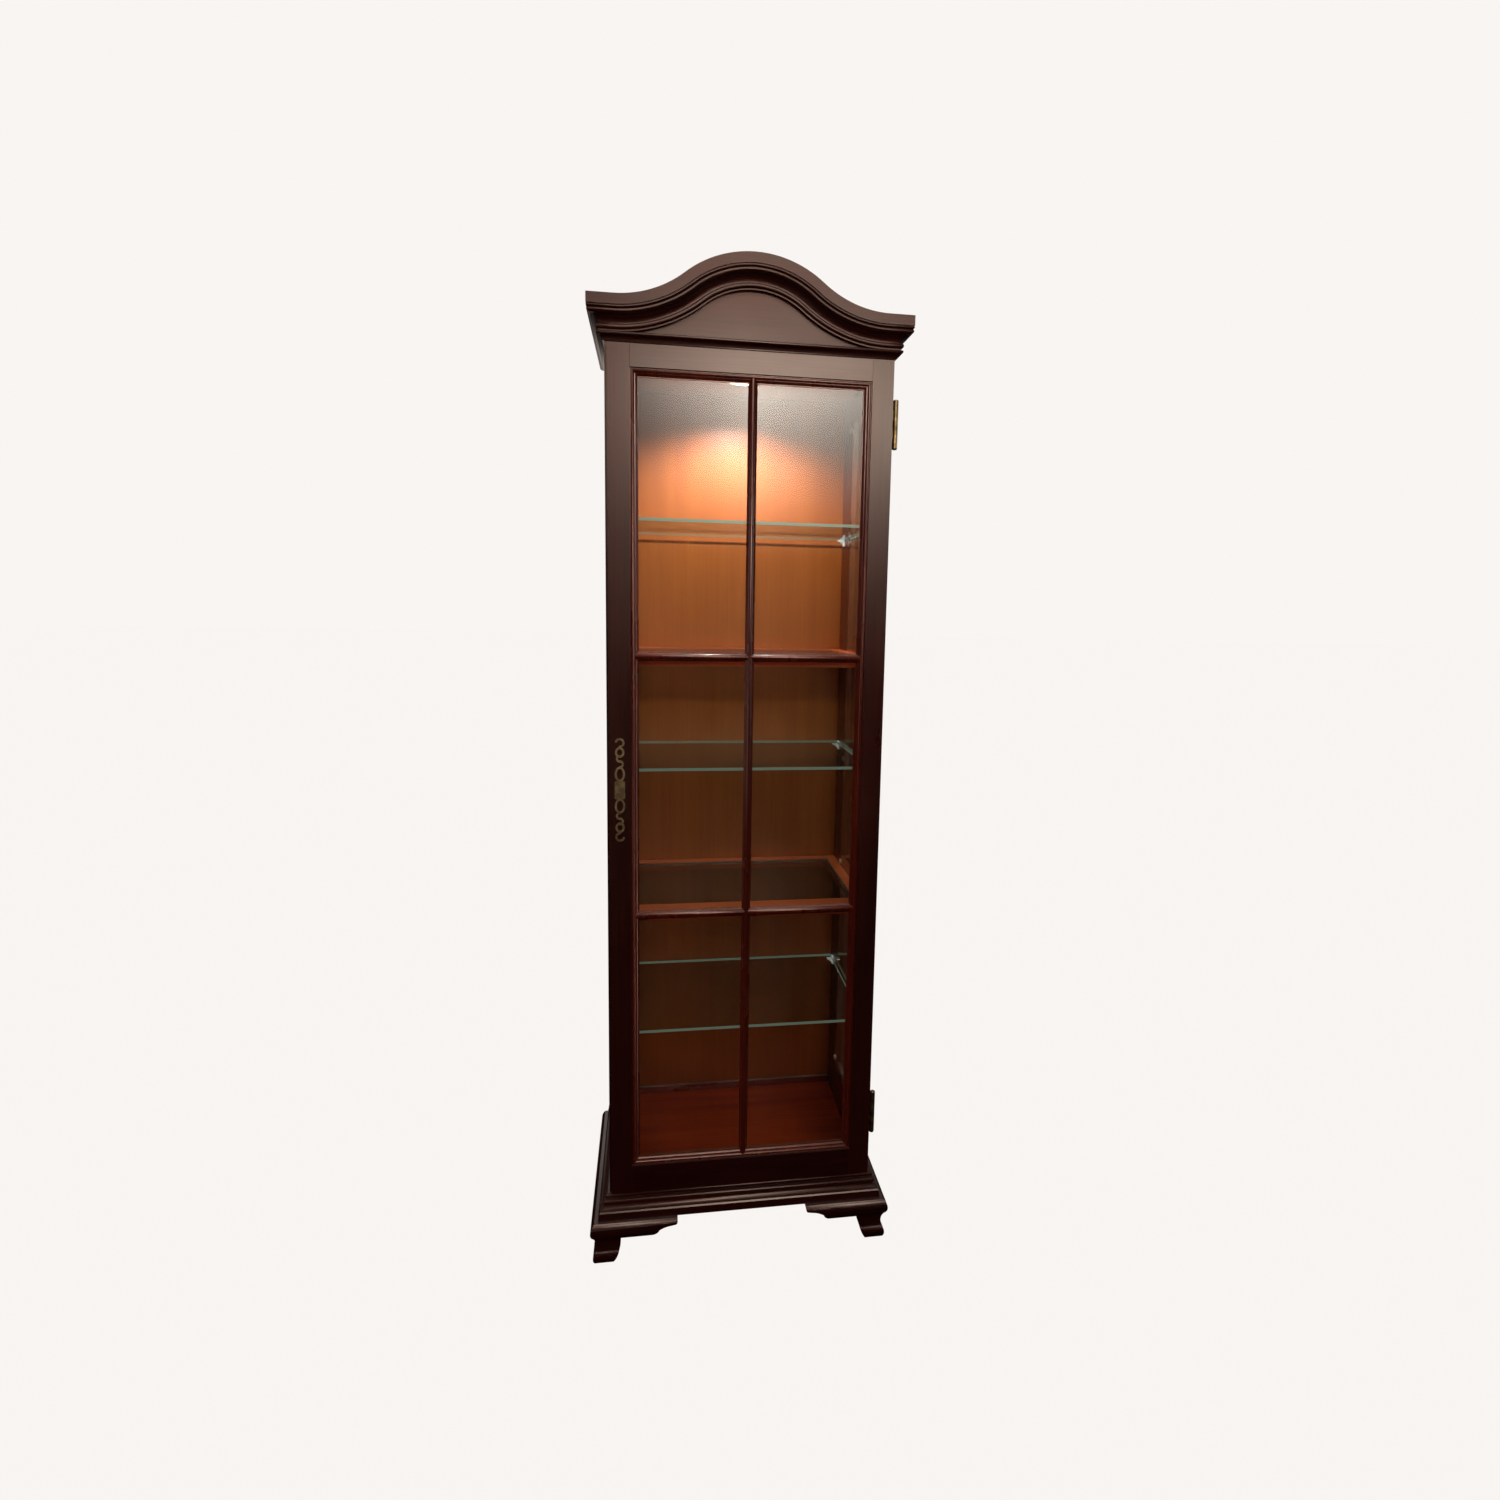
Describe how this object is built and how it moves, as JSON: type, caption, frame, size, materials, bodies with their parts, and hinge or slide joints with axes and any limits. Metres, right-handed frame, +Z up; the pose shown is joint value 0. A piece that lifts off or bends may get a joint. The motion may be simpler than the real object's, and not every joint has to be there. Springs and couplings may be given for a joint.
{
  "type": "display case",
  "caption": "Tall glazed wooden display cabinet with an arched crown, hinged glass door, glass sides, shelves and bracket feet.",
  "frame": {"origin": "on the floor under the middle of the cabinet's overall box", "axes": "+Z up, +X to the viewer's right when facing the door, -Y out of the door towards the viewer"},
  "size_m": [0.638, 0.42, 2.032],
  "materials": {
    "case_wood": "polished",
    "moulding_wood": "polished",
    "panel_wood": "satin",
    "hidden_wood": "bare",
    "clear_glass": "clear",
    "lamp_white": "satin",
    "lamp_ceramic": "gloss",
    "bulb_glass": "frosted",
    "bushing_black": "matte",
    "hinge_brass": "antique",
    "antique_brass": "antique",
    "lock_steel": "satin",
    "clip_metal": "bright"
  },
  "bodies": {
    "case": {"back_cleat": "panel_wood", "back_panel": "panel_wood", "base_front_moulding": "case_wood", "base_rear_rail": "hidden_wood", "base_side_aprons": "case_wood", "base_side_mouldings": "case_wood", "bottom_board": "panel_wood", "crown_front_moulding": "case_wood", "crown_side_returns": "case_wood", "foot_glue_blocks": "hidden_wood", "front_bottom_rail": "case_wood", "front_left_foot": "case_wood", "front_right_foot": "case_wood", "front_top_rail": "case_wood", "glass_shelf_high": "clear_glass", "glass_shelf_low": "clear_glass", "glass_shelf_middle": "clear_glass", "hinge_case_leaves": "hinge_brass", "hinge_case_screws": "hinge_brass", "hinge_pins": "hinge_brass", "lamp_bulb": "bulb_glass", "lamp_can": "lamp_white", "lamp_cord_bushing": "bushing_black", "lamp_socket": "lamp_ceramic", "left_bottom_rail": "case_wood", "left_front_stile": "case_wood", "left_rear_stile": "case_wood", "left_side_glass": "clear_glass", "left_top_rail": "case_wood", "lower_shelf_frame": "case_wood", "neck_front_moulding": "case_wood", "neck_side_returns": "case_wood", "rear_left_foot": "case_wood", "rear_right_foot": "case_wood", "right_bottom_rail": "case_wood", "right_front_stile": "case_wood", "right_rear_stile": "case_wood", "right_side_glass": "clear_glass", "right_top_rail": "case_wood", "shelf_dowels": "hidden_wood", "shelf_glass_insets": "clear_glass", "shelf_pins": "clip_metal", "side_glass_clips": "clip_metal", "top_board": "panel_wood", "tympanum_board": "case_wood", "upper_shelf_frame": "case_wood"},
    "door": {"door_bottom_rail": "case_wood", "door_glass": "clear_glass", "door_glass_stops": "panel_wood", "door_glazing_bars": "moulding_wood", "door_left_stile": "case_wood", "door_right_stile": "case_wood", "door_sight_moulding": "moulding_wood", "door_top_rail": "case_wood", "escutcheon_plate": "antique_brass", "hinge_door_leaves": "hinge_brass", "hinge_door_screws": "hinge_brass", "lock_housing": "lock_steel"},
    "lock": {"lock_plug": "lock_steel", "lock_cam": "lock_steel"}
  },
  "joints": [
    {"name": "door_hinge", "type": "hinge", "parent": "case", "child": "door", "pos_m": [0.286, -0.1715, 1], "axis": [0, 0, 1], "range_deg": [0, 170]},
    {"name": "lock_turn", "type": "hinge", "parent": "door", "child": "lock", "pos_m": [-0.254, -0.18, 1.012], "axis": [0, -1, 0], "range_deg": [0, 90]}
  ]
}
